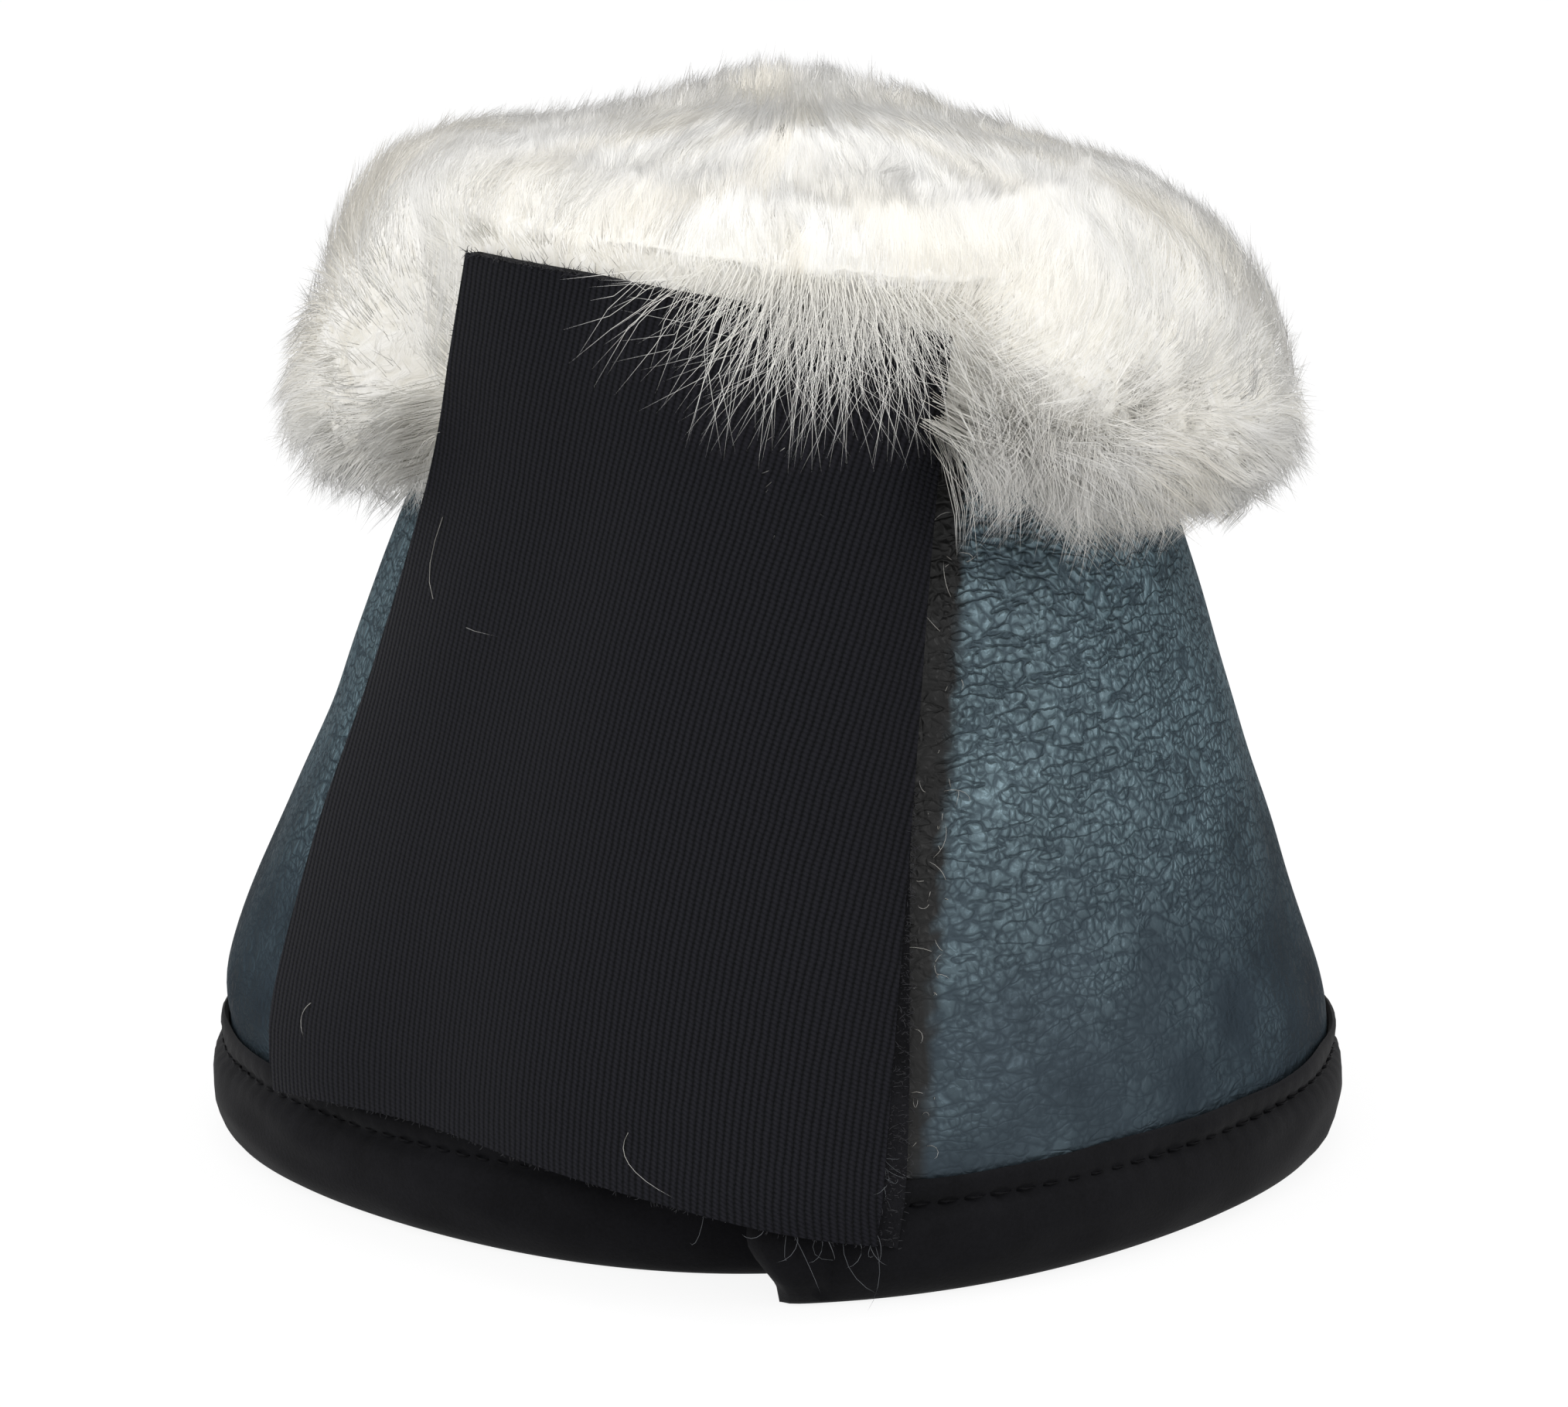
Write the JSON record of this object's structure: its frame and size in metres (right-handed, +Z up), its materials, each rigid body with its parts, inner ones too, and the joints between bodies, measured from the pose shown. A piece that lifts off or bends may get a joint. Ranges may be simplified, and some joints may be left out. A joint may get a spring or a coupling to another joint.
{
  "type": "bell boot",
  "caption": "Horse hoof boot: a leather-faced padded cone in two lapped halves, with a bound hem, a pile fur collar and a wide hook-and-loop flap down the front.",
  "frame": {"origin": "centre of the whole boot's box, on the floor under the hem", "axes": "+Z up from the hem to the fur collar, -Y out through the closing flap, +X to the right seen from the flap's side"},
  "size_m": [0.1512, 0.1596, 0.135],
  "materials": {
    "grained_leather": "pebble-grained, satin",
    "neoprene_foam": "closed-cell foam, matte",
    "knitted_lining": "knitted, matte",
    "neoprene_binding": "fabric-faced neoprene, matte",
    "sewing_thread": "twisted polyester",
    "edge_tape": "woven tape, matte",
    "collar_foam": "soft foam, matte",
    "pile_fur": "long pile, matte",
    "woven_fabric": "fine twill ribs, matte",
    "hook_tape": "hook tape, slightly shiny",
    "loop_pile": "loop pile, matte"
  },
  "bodies": {
    "left_shell": {"left_outer_leather": "grained_leather", "left_foam_core": "neoprene_foam", "left_lining": "knitted_lining", "left_hem_binding": "neoprene_binding", "left_hem_thread": "sewing_thread", "left_end_tape": "edge_tape", "left_collar_pad": "collar_foam", "left_collar_fur": "pile_fur", "loop_patch": "loop_pile", "loop_patch_thread": "sewing_thread"},
    "right_shell": {"right_outer_leather": "grained_leather", "right_foam_core": "neoprene_foam", "right_lining": "knitted_lining", "right_hem_binding": "neoprene_binding", "right_hem_thread": "sewing_thread", "right_end_tape": "edge_tape", "right_collar_pad": "collar_foam", "right_collar_fur": "pile_fur", "flap_anchor_fabric": "woven_fabric", "flap_anchor_hooks": "hook_tape"},
    "flap_bend": {"flap_bend_fabric": "woven_fabric", "flap_bend_hooks": "hook_tape"},
    "flap_panel": {"flap_panel_fabric": "woven_fabric", "flap_panel_hooks": "hook_tape"}
  },
  "joints": [
    {"name": "shell_open", "type": "hinge", "parent": "left_shell", "child": "right_shell", "pos_m": [-0.00051, 0.08019, 0.00651], "axis": [0, -0.1174, 0.9931], "range_deg": [0, 50]},
    {"name": "flap_bend", "type": "hinge", "parent": "right_shell", "child": "flap_bend", "pos_m": [0.00405, -0.07916, 0.0164], "axis": [0.01, 0.2879, 0.9576], "range_deg": [0, 85]},
    {"name": "flap_peel", "type": "hinge", "parent": "flap_bend", "child": "flap_panel", "pos_m": [0.00041, -0.07937, 0.0164], "axis": [0.0226, 0.2878, 0.9574], "range_deg": [0, 105]}
  ],
  "couplings": [
    {"joint": "flap_bend", "follows": "shell_open", "ratio": 1.7}
  ]
}
